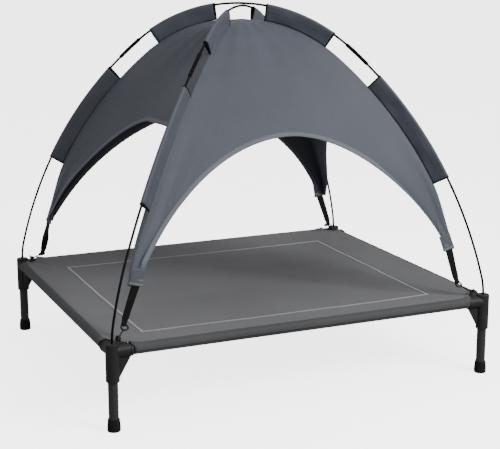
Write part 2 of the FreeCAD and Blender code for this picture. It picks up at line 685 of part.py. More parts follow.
for item in doc.Objects:
    if "Invalid" in item.State or "Error" in item.State:
        raise RuntimeError(f"{item.Label} failed: {item.State}")
for piece in subparts:
    shape = piece.Shape
    if shape.isNull() or not shape.isValid():
        raise RuntimeError(piece.Label + " is not a valid shape")
    shape.exportStep(f"parts/{piece.Label}.step")
    print(f"{piece.Label}: {len(shape.Solids)} solid(s), {shape.Volume / 1000:.1f} cm3")
print(len(subparts), "sub-parts written")
print("pole radii", [round(r) for r in archLong.radii], [round(r) for r in archShort.radii])
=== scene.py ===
import math

import bpy
import numpy as np
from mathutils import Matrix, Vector


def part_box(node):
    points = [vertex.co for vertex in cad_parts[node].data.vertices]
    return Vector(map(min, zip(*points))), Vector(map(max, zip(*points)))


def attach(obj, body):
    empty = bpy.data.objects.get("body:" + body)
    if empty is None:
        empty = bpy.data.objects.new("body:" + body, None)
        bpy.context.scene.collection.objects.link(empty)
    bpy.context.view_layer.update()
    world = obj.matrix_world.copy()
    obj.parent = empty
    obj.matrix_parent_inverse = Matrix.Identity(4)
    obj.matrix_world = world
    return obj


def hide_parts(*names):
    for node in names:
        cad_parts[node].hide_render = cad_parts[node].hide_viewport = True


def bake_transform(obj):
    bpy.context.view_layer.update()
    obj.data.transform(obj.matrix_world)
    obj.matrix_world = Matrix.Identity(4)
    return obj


# Raised dog bed with a pop-up canopy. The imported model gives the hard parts; the cloth,
# webbing and stitching are made here as real sheets around it. Everything is in metres.

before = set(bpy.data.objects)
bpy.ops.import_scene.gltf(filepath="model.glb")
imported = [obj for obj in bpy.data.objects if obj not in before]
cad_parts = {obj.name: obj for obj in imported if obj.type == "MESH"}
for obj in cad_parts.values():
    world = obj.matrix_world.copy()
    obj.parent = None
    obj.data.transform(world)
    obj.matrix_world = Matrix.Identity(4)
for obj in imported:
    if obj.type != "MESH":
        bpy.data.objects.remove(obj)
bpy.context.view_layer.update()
print("frame loaded:", len(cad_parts), "nodes")

cornerSigns = {"fl": (-1, -1), "fr": (1, -1), "br": (1, 1), "bl": (-1, 1)}


def centreOf(node):
    low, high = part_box(node)
    return (Vector(low) + Vector(high)) / 2


hubs = {corner: centreOf("foot_cap_" + corner) for corner in cornerSigns}
hubX = hubs["fr"].x
hubY = hubs["br"].y
hubReach = math.hypot(hubX, hubY)
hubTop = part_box("pole_tip_fl")[1][2]
railHeight = centreOf("rail_front").z


class Signal:
    # One output of a shader node; sums and products on it become Math nodes.
    def __init__(self, finish, socket):
        self.finish = finish
        self.socket = socket

    def math(self, operation, *values):
        return self.finish.node("ShaderNodeMath", {"operation": operation}, dict(enumerate(values)))

    def __add__(self, other):
        return self.math("ADD", self, other)

    def __radd__(self, other):
        return self.math("ADD", other, self)

    def __sub__(self, other):
        return self.math("SUBTRACT", self, other)

    def __rsub__(self, other):
        return self.math("SUBTRACT", other, self)

    def __mul__(self, other):
        return self.math("MULTIPLY", self, other)

    def __rmul__(self, other):
        return self.math("MULTIPLY", other, self)

    def __pow__(self, other):
        return self.math("POWER", self, other)

    def sine(self):
        return self.math("SINE", self)

    def size(self):
        return self.math("ABSOLUTE", self)

    def capped(self):
        return self.finish.node("ShaderNodeClamp", {}, {0: self})


class Finish:
    # One material: its nodes are made by the node method, and the shader is set once.
    def __init__(self, name):
        self.material = bpy.data.materials.new(name)
        self.material.use_nodes = True
        self.tree = self.material.node_tree
        self.shader = self.tree.nodes["Principled BSDF"]

    def node(self, kind, settings, sockets, out=0):
        made = self.tree.nodes.new(kind)
        for name, value in settings.items():
            if name == "stops":
                self.setStops(made.color_ramp, value)
            else:
                setattr(made, name, value)
        for name, value in sockets.items():
            self.give(made.inputs[name], value)
        return Signal(self, made.outputs[out])

    def give(self, socket, value):
        if isinstance(value, Signal):
            self.tree.links.new(value.socket, socket)
        else:
            socket.default_value = value

    def setStops(self, ramp, stops):
        while len(ramp.elements) < len(stops):
            ramp.elements.new(0.5)
        for element, (place, tone) in zip(ramp.elements, stops):
            element.position = place
            element.color = (tone, tone, tone, 1)

    def place(self, kind="Object"):
        return self.node("ShaderNodeTexCoord", {}, {}, ("Generated", "Normal", "UV", "Object").index(kind))

    def noise(self, place, scale, detail=3.0, rough=0.55):
        return self.node("ShaderNodeTexNoise", {}, {"Vector": place, "Scale": scale, "Detail": detail,
                                                    "Roughness": rough})

    def ramp(self, value, stops):
        return self.node("ShaderNodeValToRGB", {"stops": stops}, {0: value})

    def mix(self, share, first, second):
        return self.node("ShaderNodeMix", {"data_type": "RGBA"}, {0: share, 6: first, 7: second}, 2)

    def bump(self, height, distance, strength=1.0, under=None):
        sockets = {"Height": height, "Distance": distance, "Strength": strength}
        if under:
            sockets["Normal"] = under
        return self.node("ShaderNodeBump", {}, sockets)

    def shade(self, **values):
        for name, value in values.items():
            self.give(self.shader.inputs[name.replace("_", " ")], value)
        return self.material


def tone(red, green, blue):
    return (red, green, blue, 1.0)


def scaled(colour, share):
    return (colour[0] * share, colour[1] * share, colour[2] * share, 1.0)


def threads(finish, pitch):
    # Two crossed sets of threads, worked out on the flat cut of the cloth in metres.
    cut = finish.place("UV")
    across = finish.node("ShaderNodeSeparateXYZ", {}, {0: cut}, 0)
    along = finish.node("ShaderNodeSeparateXYZ", {}, {0: cut}, 1)
    turn = math.pi / pitch
    warp = (across * turn).sine()
    weft = (along * turn).sine()
    return cut, across, along, warp * weft


clothLooks = {
    "canopy": dict(colour=tone(0.052, 0.057, 0.073), weave=0.0011, grid=0.006, depth=0.00012, sheen=0.10,
                   rough=(0.48, 0.62), gloss=0.22, mottling=0.14),
    # The sheet and the rail sleeves are one cloth in two copies: the sheet's copy is painted lighter against
    # the canopy's shadow, and the sleeves' copy is painted about half as bright, as painted shade on the
    # rails.
    "bed": dict(colour=tone(0.104, 0.105, 0.110), weave=0.0016, grid=0.0, depth=0.00030, sheen=0.06,
                rough=(0.66, 0.80), gloss=0.15, mottling=0.14),
    "bedRail": dict(colour=tone(0.050, 0.051, 0.054), weave=0.0016, grid=0.0, depth=0.00030, sheen=0.06,
                    rough=(0.62, 0.78), gloss=0.15, mottling=0.14),
    "stripe": dict(colour=tone(0.26, 0.26, 0.27), weave=0.0014, grid=0.0, depth=0.00025, sheen=0.10,
                   rough=(0.55, 0.70), gloss=0.2, mottling=0.12),
    # The hems are the canopy cloth turned in, painted lighter: a painted highlight along the rolled edges.
    "hem": dict(colour=tone(0.085, 0.094, 0.112), weave=0.0011, grid=0.0, depth=0.00012, sheen=0.12,
                rough=(0.45, 0.58), gloss=0.25, mottling=0.14),
    "webbing": dict(colour=tone(0.0040, 0.0040, 0.0044), weave=0.0016, grid=0.0, depth=0.00045, sheen=0.05,
                    rough=(0.60, 0.75), gloss=0.12, mottling=0.2),
    "thread": dict(colour=tone(0.060, 0.066, 0.080), weave=0.0006, grid=0.0, depth=0.0001, sheen=0.1,
                   rough=(0.5, 0.6), gloss=0.2, mottling=0.2),
}


def clothFinish(name, look):
    finish = Finish(name)
    cut, across, along, weave = threads(finish, look["weave"])
    place = finish.place()
    broad = finish.noise(place, scale=3.2, detail=4.0)
    fine = finish.noise(place, scale=46.0)
    drawn = finish.node("ShaderNodeMapping", {}, {"Vector": cut, "Scale": (1.0, 14.0, 1.0)})
    slub = finish.noise(drawn, scale=130.0, detail=2.0)
    blotch = (broad * 0.6 + fine * 0.25 + slub * 0.15 - 0.35) * 3.0
    colour = finish.mix(blotch.capped(), scaled(look["colour"], 1 - look["mottling"]),
                        scaled(look["colour"], 1 + look["mottling"]))
    colour = finish.mix((weave * 0.5 + 0.5) * 0.35, colour, scaled(look["colour"], 0.72))
    height = weave * 0.6 + slub * 0.5
    if look["grid"]:
        turn = math.pi / look["grid"]
        rib = (across * turn).sine().size() ** 24.0 + (along * turn).sine().size() ** 24.0
        height = height + rib * 0.9
        colour = finish.mix(rib.capped() * 0.22, colour, scaled(look["colour"], 1.35))
    low, high = look["rough"]
    return finish.shade(Base_Color=colour, Roughness=fine * (high - low) + low, Sheen_Weight=look["sheen"],
                        Sheen_Roughness=0.45, Specular_IOR_Level=look["gloss"],
                        Normal=finish.bump(height, look["depth"], under=finish.bump(broad, 0.004, 0.5)))


plasticLooks = {
    "moulded": dict(colour=tone(0.0165, 0.0165, 0.0172), rough=(0.40, 0.58), grain=900.0, depth=0.00006,
                    coat=0.0, gloss=0.16),
    "powder": dict(colour=tone(0.0245, 0.0245, 0.0252), rough=(0.32, 0.46), grain=1400.0, depth=0.00004,
                   coat=0.05, gloss=0.25),
    "rubber": dict(colour=tone(0.007, 0.007, 0.007), rough=(0.70, 0.88), grain=700.0, depth=0.00012,
                   coat=0.0, gloss=0.15),
    "fibreglass": dict(colour=tone(0.0022, 0.0022, 0.0025), rough=(0.34, 0.46), grain=600.0, depth=0.00002,
                       coat=0.0, gloss=0.07),
    "ferrule": dict(colour=tone(0.0022, 0.0022, 0.0025), rough=(0.30, 0.42), grain=1200.0, depth=0.00002,
                    coat=0.0, gloss=0.05),
    "hook": dict(colour=tone(0.005, 0.005, 0.0055), rough=(0.32, 0.46), grain=800.0, depth=0.00003,
                 coat=0.05, gloss=0.22),
}


def plasticFinish(name, look):
    finish = Finish(name)
    place = finish.place()
    grain = finish.noise(place, look["grain"], detail=2.0)
    wear = finish.noise(place, scale=24.0, detail=5.0, rough=0.65)
    scuff = finish.ramp(wear, [(0.58, 0.0), (0.72, 1.0)])
    colour = finish.mix(scuff * 0.4, look["colour"], scaled(look["colour"], 2.4))
    low, high = look["rough"]
    return finish.shade(Base_Color=colour, Roughness=wear * (high - low) + low, Coat_Weight=look["coat"],
                        Coat_Roughness=0.3, Specular_IOR_Level=look["gloss"],
                        Normal=finish.bump(grain, look["depth"], under=finish.bump(wear, 0.0002, 0.4)))


def metalFinish(name, colour, rough):
    finish = Finish(name)
    place = finish.place()
    drawn = finish.node("ShaderNodeMapping", {}, {"Vector": place, "Scale": (900.0, 900.0, 40.0)})
    brushed = finish.noise(drawn, scale=1.0)
    wear = finish.noise(place, scale=60.0, detail=4.0)
    return finish.shade(Base_Color=finish.mix(wear * 0.5, colour, scaled(colour, 1.7)), Metallic=1.0,
                        Roughness=brushed * 0.16 + rough, Normal=finish.bump(brushed, 0.00003))


finishes = {name: clothFinish(name + "Cloth", look) for name, look in clothLooks.items()}
finishes.update({name: plasticFinish(name + "Finish", look) for name, look in plasticLooks.items()})
finishes["tip"] = metalFinish("tipFinish", tone(0.20, 0.20, 0.21), 0.30)
print("finishes made:", len(finishes))

nodeFinish = {"corner_bracket": "moulded", "leg_tube": "powder", "foot_cap": "rubber", "rail_sleeve": "bed",
              "rail_": "powder", "pole_section": "fibreglass", "pole_long_middle": "fibreglass",
              "pole_short_middle": "fibreglass", "pole_ferrule": "ferrule", "pole_tip": "tip",
              "shock_cord": "webbing", "strap_hook": "hook"}
for node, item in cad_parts.items():
    for start, name in nodeFinish.items():
        if node.startswith(start):
            item.data.materials.clear()
            item.data.materials.append(finishes[name])
            break
print("CAD pieces finished")


def addPiece(name, points, faces, uvs, finish, smooth=True):
    mesh = bpy.data.meshes.new(name)
    mesh.from_pydata([tuple(point) for point in points], [], faces)
    if uvs is not None:
        layer = mesh.uv_layers.new(name="cut")
        loops = np.empty(len(mesh.loops), dtype=np.int32)
        mesh.loops.foreach_get("vertex_index", loops)
        layer.data.foreach_set("uv", np.asarray(uvs, dtype=np.float32)[loops].ravel())
    mesh.materials.append(finishes[finish])
    mesh.polygons.foreach_set("use_smooth", [smooth] * len(mesh.polygons))
    mesh.update()
    piece = bpy.data.objects.new(name, mesh)
    bpy.context.scene.collection.objects.link(piece)
    return piece


def gridFaces(rows, columns, closed=False):
    faces = []
    for row in range(rows - 1):
        for column in range(columns if closed else columns - 1):
            right = (column + 1) % columns
            faces.append((row * columns + column, row * columns + right,
                          (row + 1) * columns + right, (row + 1) * columns + column))
    return faces


def walked(points, axis):
    # Distance walked along one axis of a grid of points, which is its place on the flat cut.
    steps = np.linalg.norm(np.diff(points, axis=axis), axis=2)
    start = np.zeros_like(np.take(steps, [0], axis=axis))
    return np.cumsum(np.concatenate([start, steps], axis=axis), axis=axis)


def pathMarks(path):
    # Distance walked along a path at each of its points.
    return np.concatenate([[0], np.cumsum(np.linalg.norm(np.diff(path, axis=0), axis=1))])


def addSheet(name, grid, finish, thickness=0.0008):
    # A grid of points becomes a sheet of cloth with a real thickness and its cut as UVs.
    rows, columns = grid.shape[:2]
    uvs = np.stack([walked(grid, 1), walked(grid, 0)], axis=2).reshape(-1, 2)
    piece = addPiece(name, grid.reshape(-1, 3), gridFaces(rows, columns), uvs, finish)
    if thickness:
        solid = piece.modifiers.new("thickness", "SOLIDIFY")
        solid.thickness = thickness
        solid.offset = 0.0
    return piece


def gridArea(grid):
    across = grid[:-1, 1:] - grid[:-1, :-1]
    down = grid[1:, :-1] - grid[:-1, :-1]
    return float(np.linalg.norm(np.cross(across, down), axis=2).sum())


def unit(vectors):
    return vectors / np.maximum(np.linalg.norm(vectors, axis=-1, keepdims=True), 1e-9)


def gridNormals(grid):
    across = np.gradient(grid, axis=1)
    down = np.gradient(grid, axis=0)
    return unit(np.cross(across, down))


def smoothStep(value, low, high):
    share = np.clip((value - low) / (high - low), 0, 1)
    return share * share * (3 - 2 * share)


class Stitching:
    # Many short raised stitches, gathered into one piece.
    def __init__(self, length=0.0034, gap=0.0018, width=0.0007):
        self.length = length
        self.gap = gap
        self.width = width
        self.points = []
        self.faces = []

    def run(self, path, normals):
        marks = pathMarks(path)
        pitch = self.length + self.gap
        for start in np.arange(pitch / 2, marks[-1] - pitch, pitch):
            ends = [np.array([np.interp(t, marks, path[:, i]) for i in range(3)])
                    for t in (start, start + self.length)]
            up = unit(np.array([np.interp(start, marks, normals[:, i]) for i in range(3)]))
            self.stitch(*ends, up)

    def stitch(self, first, second, up):
        along = unit(second - first)
        side = unit(np.cross(along, up)) * self.width / 2
        rise = up * self.width * 0.55
        base = len(self.points)
        for place, grow in ((first, 0.35), (first + (second - first) * 0.25, 1.0),
                            (first + (second - first) * 0.75, 1.0), (second, 0.35)):
            self.points += [place + side * grow - rise * 0.4, place + side * 0.5 * grow + rise * grow,
                            place - side * 0.5 * grow + rise * grow, place - side * grow - rise * 0.4]
        for ring in range(3):
            for corner in range(4):
                a = base + ring * 4 + corner
                b = base + ring * 4 + (corner + 1) % 4
                self.faces.append((a, b, b + 4, a + 4))
        self.faces.append((base + 3, base + 2, base + 1, base))
        self.faces.append((base + 12, base + 13, base + 14, base + 15))

    def finish(self, name, body):
        piece = addPiece(name, self.points, self.faces, np.array(self.points)[:, :2], "thread")
        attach(piece, body)


class BentPole:
    # Four arcs that meet in tangents from the apex down to the socket, in the pole's own plane.
    def __init__(self, apex, firstRadius, lastRadius, slopes):
        marks = np.radians([0.0, *slopes, 90.0])
        across = np.diff(np.sin(marks))
        down = -np.diff(np.cos(marks))
        leftX = hubReach - firstRadius * across[0] - lastRadius * across[3]
        leftZ = apex - hubTop - firstRadius * down[0] - lastRadius * down[3]
        second, third = np.linalg.solve([[across[1], across[2]], [down[1], down[2]]], [leftX, leftZ])
        slope, out, height, walk = [0.0], [0.0], [apex], [0.0]
        for index, radius in enumerate((firstRadius, second, third, lastRadius)):
            for angle in np.linspace(marks[index], marks[index + 1], 90)[1:]:
                out.append(out[-1] + radius * (math.sin(angle) - math.sin(slope[-1])))
                height.append(height[-1] - radius * (math.cos(slope[-1]) - math.cos(angle)))
                walk.append(walk[-1] + radius * (angle - slope[-1]))
                slope.append(angle)
        self.table = [np.array(values) for values in (walk, out, height, slope)]

    def at(self, distance, inward=0.0):
        walk, out, height, slope = self.table
        lean = np.interp(distance, walk, slope)
        return (np.interp(distance, walk, out) - inward * np.sin(lean),
                np.interp(distance, walk, height) - inward * np.cos(lean), lean)


# Each pole's sleeves start and end at these distances along it from the apex.
poles = {
    "long": dict(pole=BentPole(apex=1.114, firstRadius=0.530, lastRadius=0.225, slopes=(40.3, 63.8, 75.7)),
                 corners=("bl", "fr"), sleeves=((0.084, 0.312), (0.498, 0.867))),
    "short": dict(pole=BentPole(apex=1.106, firstRadius=0.315, lastRadius=0.160, slopes=(39.3, 59.0, 72.5)),
                  corners=("fl", "br"), sleeves=((0.088, 0.255), (0.425, 0.812))),
}
poleAt = {corner: kind for kind in poles.values() for corner in kind["corners"]}
spokes = {corner: np.array([hub.x, hub.y, 0.0]) / hubReach for corner, hub in hubs.items()}
asides = {corner: np.array([-spoke[1], spoke[0], 0.0]) for corner, spoke in spokes.items()}
upright = np.array([0.0, 0.0, 1.0])


def onSpoke(corner, out, height, aside=0.0):
    out, height = np.asarray(out, dtype=float), np.asarray(height, dtype=float)
    aside = np.broadcast_to(np.asarray(aside, dtype=float), out.shape)
    return (out[..., None] * spokes[corner] + height[..., None] * upright + aside[..., None] * asides[corner])


canopyCut = {
    "finDepth": 0.046,        # from the pole's middle down to the seam
    "crownHeight": 1.0645,    # where the four panels meet
    "crownSpread": 0.07,      # how far out from there the seams are eased to it
    "tailTop": (0.664, 0.428),
    "tailPull": 0.045,        # how stiffly a seam bends from its sleeve into its tail
    "bandLow": (0.679, 0.386),
    "hemWidth": 0.014,
    "hemRows": (0.0025, 0.012),    # its two rows of stitches, from the edge
    "rows": 90,
    "columns": 150,
    "seamPoints": 400,
    "crowding": 0.78,         # how much closer the columns stand at the tails
    "slack": 0.010,           # how far each panel falls in at its middle
    "gather": 0.0030,         # height of the folds that run to the tails
    "drift": 0.0022,          # and of the broad waves over a panel
    "crown": 0.0012,          # and of the fine ones under the crown
}

# How each opening is arched: its two corners, the way it faces, its peak sideways and in height,
# half its width, how full its two sides are, how flat its top is, and its tails' two widths.
archways = {
    "front": dict(corners=("fl", "fr"), facing=(0, -1), peak=(0.028, 0.748), half=0.497,
                  full=(1.9, 1.9), flat=0.86, tails=(0.037, 0.030)),
    "back": dict(corners=("br", "bl"), facing=(0, 1), peak=(-0.02, 0.748), half=0.497,
                 full=(1.9, 1.9), flat=0.86, tails=(0.037, 0.010)),
    "left": dict(corners=("bl", "fl"), facing=(-1, 0), peak=(-0.045, 0.782), half=0.425,
                 full=(5.5, 1.45), flat=0.97, tails=(0.026, 0.012)),
    "right": dict(corners=("fr", "br"), facing=(1, 0), peak=(-0.045, 0.782), half=0.425,
                  full=(2.7, 1.45), flat=0.97, tails=(0.012, 0.012)),
}

# Which way each sewn band lies from its seam, seen from above; the back left one is twisted.
bandWays = {"fl": np.array([1.0, 0.0, 0.0]), "fr": np.array([-1.0, 0.0, 0.0]),
            "br": np.array([-1.0, 0.0, 0.0]), "bl": unit(np.array([0.18, -0.98, 0.0]))}


def seamTable(corner):
    pole = poleAt[corner]["pole"]
    last = poleAt[corner]["sleeves"][1][1]
    out, height, _ = pole.at(np.linspace(0.0, last, 80), canopyCut["finDepth"])
    out = np.maximum(out, 0.0)
    height = height + (canopyCut["crownHeight"] - height[0]) * np.exp(-(out / canopyCut["crownSpread"]) ** 2)
    endOut, endHeight = canopyCut["tailTop"]
    lowOut, lowHeight = canopyCut["bandLow"]
    pull = canopyCut["tailPull"]
    heading = unit(np.array([out[-1] - out[-3], height[-1] - height[-3]]))
    tail = unit(np.array([lowOut - endOut, lowHeight - endHeight]))
    share = np.linspace(0, 1, 26)[1:, None]
    start, end = np.array([out[-1], height[-1]]), np.array([endOut, endHeight])
    bend = ((1 - share) ** 3 * start + 3 * (1 - share) ** 2 * share * (start + heading * pull)
            + 3 * (1 - share) * share ** 2 * (end - tail * pull) + share ** 3 * end)
    line = onSpoke(corner, np.concatenate([out, bend[:, 0], [lowOut]]),
                   np.concatenate([height, bend[:, 1], [lowHeight]]))
    marks = pathMarks(line)
    even = np.linspace(0, marks[-1], canopyCut["seamPoints"])
    return np.stack([np.interp(even, marks, line[:, i]) for i in range(3)], axis=1)


seams = {corner: seamTable(corner) for corner in cornerSigns}
evenly = np.linspace(0, 1, canopyCut["seamPoints"])


def seamPoint(corner, share):
    table = seams[corner]
    return np.stack([np.interp(share, evenly, table[:, i]) for i in range(3)], axis=-1)


def panelPoint(side, across, down):
    # The cloth between two seams runs straight across at each level.
    first, second = archways[side]["corners"]
    left, right = seamPoint(first, down), seamPoint(second, down)
    return left + (right - left) * across[..., None]


def archHeight(side, sideways):
    arch = archways[side]
    middle, peak = arch["peak"]
    spring = canopyCut["bandLow"][1]
    after = sideways > middle
    reach = np.where(after, arch["half"] - middle, arch["half"] + middle)
    share = np.clip(np.abs(sideways - middle) / reach, 0, 1)
    full = np.where(after, arch["full"][1], arch["full"][0])
    return spring + (peak - spring) * (1 - share ** full) ** arch["flat"]


def archLine(side):
    # Where the panel's lower edge runs, as (across, down) pairs: along the first tail's end, up
    # its edge, round the opening and down to the other tail; and which of the pairs are hemmed.
    arch = archways[side]
    axis = 0 if arch["facing"][0] == 0 else 1
    first, second = (seams[corner] for corner in arch["corners"])
    spans = np.linalg.norm(first - second, axis=1)
    ends = [width / spans[-1] for width in arch["tails"]]
    across = np.unique(np.concatenate([
        0.5 - 0.5 * np.cos(np.linspace(0, math.pi, 500)),
        np.linspace(ends[0] * 0.9, ends[0] * 1.4, 160), 1 - np.linspace(ends[1] * 0.9, ends[1] * 1.4, 160)]))
    low, high = np.full_like(across, 0.3), np.ones_like(across)
    for _ in range(40):
        middle = (low + high) / 2
        point = panelPoint(side, across, middle)
        above = point[:, 2] > archHeight(side, point[:, axis])
        low, high = np.where(above, middle, low), np.where(above, high, middle)
    down = (low + high) / 2
    for width, share in zip(arch["tails"], (across, 1 - across)):
        wanted = width / np.maximum(share, 1e-6)
        down = np.maximum(down, np.interp(wanted, spans, evenly, left=0.0, right=1.0))
    line = panelPoint(side, across, down)
    marks = pathMarks(line)
    even = np.linspace(0, 1, canopyCut["columns"])
    even = even - canopyCut["crowding"] * np.sin(2 * math.pi * even) / (2 * math.pi)
    even = even * marks[-1]
    across, down = np.interp(even, marks, across), np.interp(even, marks, down)
    hemmed = (even >= arch["tails"][0]) & (even <= marks[-1] - arch["tails"][1])
    return across, down, hemmed


def ripples(side, across, down):
    # Slack and pull in the cloth: it gives way a little in the middle and gathers to its tails.
    seed = list(archways).index(side) * 1.7
    slack = -canopyCut["slack"] * np.sin(math.pi * across) * smoothStep(down, 0.05, 0.5)
    gather = np.zeros_like(across)
    for share, phase in ((across, 0.4), (1 - across, 1.9)):
        angle = np.arctan2(share * 1.1, np.maximum(1.02 - down, 1e-3))
        near = np.exp(-(((1.0 - down) ** 2 + (share * 1.2) ** 2) / 0.09)) * smoothStep(share, 0.0, 0.03)
        gather = gather + canopyCut["gather"] * near * np.sin(angle * 15.0 + phase + seed)
    drift = canopyCut["drift"] * np.sin(across * 7.3 + seed) * np.sin(down * 9.1 + seed * 2.1)
    below = smoothStep(down, 0.04, 0.14) * (1 - smoothStep(down, 0.2, 0.45))
    crown = canopyCut["crown"] * np.sin(across * 31 + seed) * below
    return slack + gather + (drift + crown) * np.sin(math.pi * np.clip(across, 0, 1)) ** 0.7


def panelGrid(side):
    edgeAcross, edgeDown, edged = archLine(side)
    level = np.linspace(0, 1, canopyCut["columns"])[None, :]
    depth = (np.linspace(0, 1, canopyCut["rows"]) ** 0.9)[:, None]
    across = level * (1 - depth) + edgeAcross[None, :] * depth
    down = depth * edgeDown[None, :]
    grid = panelPoint(side, across, down)
    normals = gridNormals(grid)
    facing = np.array([*archways[side]["facing"], 0.6])
    normals = normals * np.sign(normals @ facing)[..., None]
    normals[0] = upright
    shift = ripples(side, across, down)
    shift[:, 0] = 0
    shift[:, -1] = 0
    grid = grid + normals * shift[..., None]
    return grid, normals, edged


def edgeRoll(path, inner, normals, width, lift, radius):
    # A hem folded over an edge: up one face, round the rim and back along the other face.
    inward = unit(inner - path)
    face = [(width, lift * 0.2), (width * 0.92, lift), (width * 0.5, lift), (width * 0.12, lift * 1.1)]
    rows = [path + inward * place + normals * rise for place, rise in face]
    for angle in np.radians([60, 20, -20, -60]):
        rows.append(path - inward * radius * math.cos(angle) + normals * radius * math.sin(angle))
    rows += [path + inward * place - normals * rise for place, rise in face[::-1]]
    return np.stack(rows)


canopyThread = Stitching()
sheetNotes = {}
for side, arch in archways.items():
    grid, normals, edged = panelGrid(side)
    panel = addSheet("canopyPanel_" + side, grid, "canopy")
    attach(panel, "canopy")
    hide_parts("canopy_panel_" + side)
    path = grid[-1][edged]
    outward = normals[-2][edged]
    inward = unit(np.cross(outward, np.gradient(path, axis=0)))
    inward = inward * np.sign(inward[len(path) // 2, 2])
    hemGrid = edgeRoll(path, path + inward, outward, canopyCut["hemWidth"], lift=0.0011, radius=0.0016)
    # The rolled hem takes the lighter copy of the cloth: a painted highlight.
    hem = addSheet("canopyHem_" + side, hemGrid, "hem", thickness=0.0)
    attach(hem, "canopy")
    for inset in canopyCut["hemRows"]:
        for face in (1, -1):
            canopyThread.run((path + inward * inset + outward * 0.0013 * face)[3:-3], outward[3:-3] * face)
    first, second = (seams[corner] for corner in arch["corners"])
    width = float(np.linalg.norm(first[-1] - second[-1]))
    length = math.sqrt(pathMarks(first)[-1] ** 2 - (width / 2) ** 2)
    turnedIn = canopyCut["hemWidth"] * float(pathMarks(path)[-1])
    area = gridArea(grid) + turnedIn    # the hem is the same cloth turned in
    sheetNotes[side] = (round(width, 3), round(length, 3), round(area, 3))
print("canopy panels made:", sheetNotes)


sleeveCut = {
    "poleLoop": 0.0056,       # cloth round the pole, from its middle
    "endHem": 0.011,
    "doubled": 0.0007,        # how much thicker each ply is there
    "blackEndStrip": (0.0035, 0.0007),    # depth and thickness of the black strip over each end
    "stationStep": 0.012,
    "sway": (0.0016, 0.0010),    # how far the fin waves from side to side, broadly and finely
    "seamColumn": 4,          # the point of the profile that is stitched along the sleeve
    "plyColumns": 6,          # points in one ply, from the seam to the pole
}


def sleeveProfile():
    # From the seam up one ply, round the pole and down the other ply: (depth, aside).
    ply = [(0.0462, 0.0012), (0.040, 0.0018), (0.033, 0.0027), (0.025, 0.0037), (0.017, 0.0046),
           (0.009, 0.0053)]
    loop = sleeveCut["poleLoop"]
    angles = np.radians(np.linspace(-96, 96, 11))
    turn = [(-loop * math.cos(angle), loop * math.sin(angle)) for angle in angles]
    return np.array([(depth, -side) for depth, side in ply] + turn + ply[::-1])


def bandAlong(path, outward, width, thickness):
    # A narrow strip folded over a cut edge.
    outward = unit(outward)
    along = unit(np.gradient(path, axis=0))
    face = unit(np.cross(along, outward))
    rows = []
    for place, rise in ((-width, 1), (-width * 0.5, 1.2), (0.0006, 1), (0.0010, 0), (0.0006, -1),
                        (-width * 0.5, -1.2), (-width, -1)):
        rows.append(path + outward * place + face * thickness * rise)
    return np.stack(rows)


def poleSleeve(name, corner, start, end):
    pole = poleAt[corner]["pole"]
    profile = sleeveProfile()
    count = int((end - start) / sleeveCut["stationStep"]) + 2
    stations = np.linspace(start, end, count)
    phase = len(name) * 0.7 + start * 9
    broad, fine = sleeveCut["sway"]
    depth = profile[:, 0]
    rows = []
    for place in stations:
        sway = broad * math.sin(place * 26 + phase) + fine * math.sin(place * 61 + phase * 2)
        swing = np.sin(np.clip(depth / canopyCut["finDepth"], 0, 1) * math.pi) * sway
        nearEnd = min(place - start, end - place)
        doubled = sleeveCut["doubled"] if nearEnd < sleeveCut["endHem"] else 0.0
        wide = profile[:, 1] + np.sign(profile[:, 1]) * doubled
        out, height, _ = pole.at(place, depth)
        rows.append(onSpoke(corner, out, height, wide + swing))
    grid = np.stack(rows)
    piece = addSheet(name, grid, "canopy")
    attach(piece, "canopy")
    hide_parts("pole_sleeve_" + corner)
    for level, row, inner in (("Top", 0, 1), ("Low", -1, -2)):
        blackEndStrip = bandAlong(grid[row], grid[row] - grid[inner], *sleeveCut["blackEndStrip"])
        strip = addSheet(name + "_end" + level, blackEndStrip, "webbing", thickness=0.0)
        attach(strip, "canopy")
    seam, ply = sleeveCut["seamColumn"], sleeveCut["plyColumns"]
    for side, column in ((-1, seam), (1, -1 - seam)):
        path = grid[:, column] + asides[corner] * side * 0.0006
        canopyThread.run(path, np.tile(asides[corner] * side, (len(path), 1)))
    for row in (1, -2):
        for side, columns in ((-1, slice(0, ply)), (1, slice(-ply, None))):
            path = grid[row, columns] + asides[corner] * side * 0.0007
            canopyThread.run(path, np.tile(asides[corner] * side, (len(path), 1)))


for corner in cornerSigns:
    for level, (start, end) in zip(("Upper", "Lower"), poleAt[corner]["sleeves"]):
        poleSleeve(f"poleSleeve{level}_{corner}", corner, start, end)
print("pole sleeves made")


def ribbon(name, path, ways, widths, thickness, finish, swell=0.0, columns=9):
    # A flat strip with soft edges along a path, with its width turned to ways; it may swell a
    # little in the middle.
    along = unit(np.gradient(path, axis=0))
    ways = np.broadcast_to(ways, path.shape)
    side = unit(ways - along * np.sum(along * ways, axis=1)[:, None])
    face = np.cross(side, along)
    turn = np.linspace(0, 2 * math.pi, 4 * columns, endpoint=False)
    flatX = np.sign(np.cos(turn)) * np.abs(np.cos(turn)) ** 0.55
    flatY = np.sign(np.sin(turn)) * np.abs(np.sin(turn)) ** 0.35
    plump = 1 + swell * (1 - flatX ** 2)
    grid = np.stack([path[i] + side[i] * (flatX * widths[i] / 2)[:, None]
                     + face[i] * (flatY * plump * thickness / 2)[:, None] for i in range(len(path))])
    rows, ring = grid.shape[:2]
    uvs = np.stack([np.tile(flatX * widths[0] / 2, rows), np.repeat(pathMarks(path), ring)], axis=1)
    faces = gridFaces(rows, ring, True)
    faces.append(tuple(range(ring))[::-1])
    faces.append(tuple(range((rows - 1) * ring, rows * ring)))
    return addPiece(name, grid.reshape(-1, 3), faces, uvs, finish)


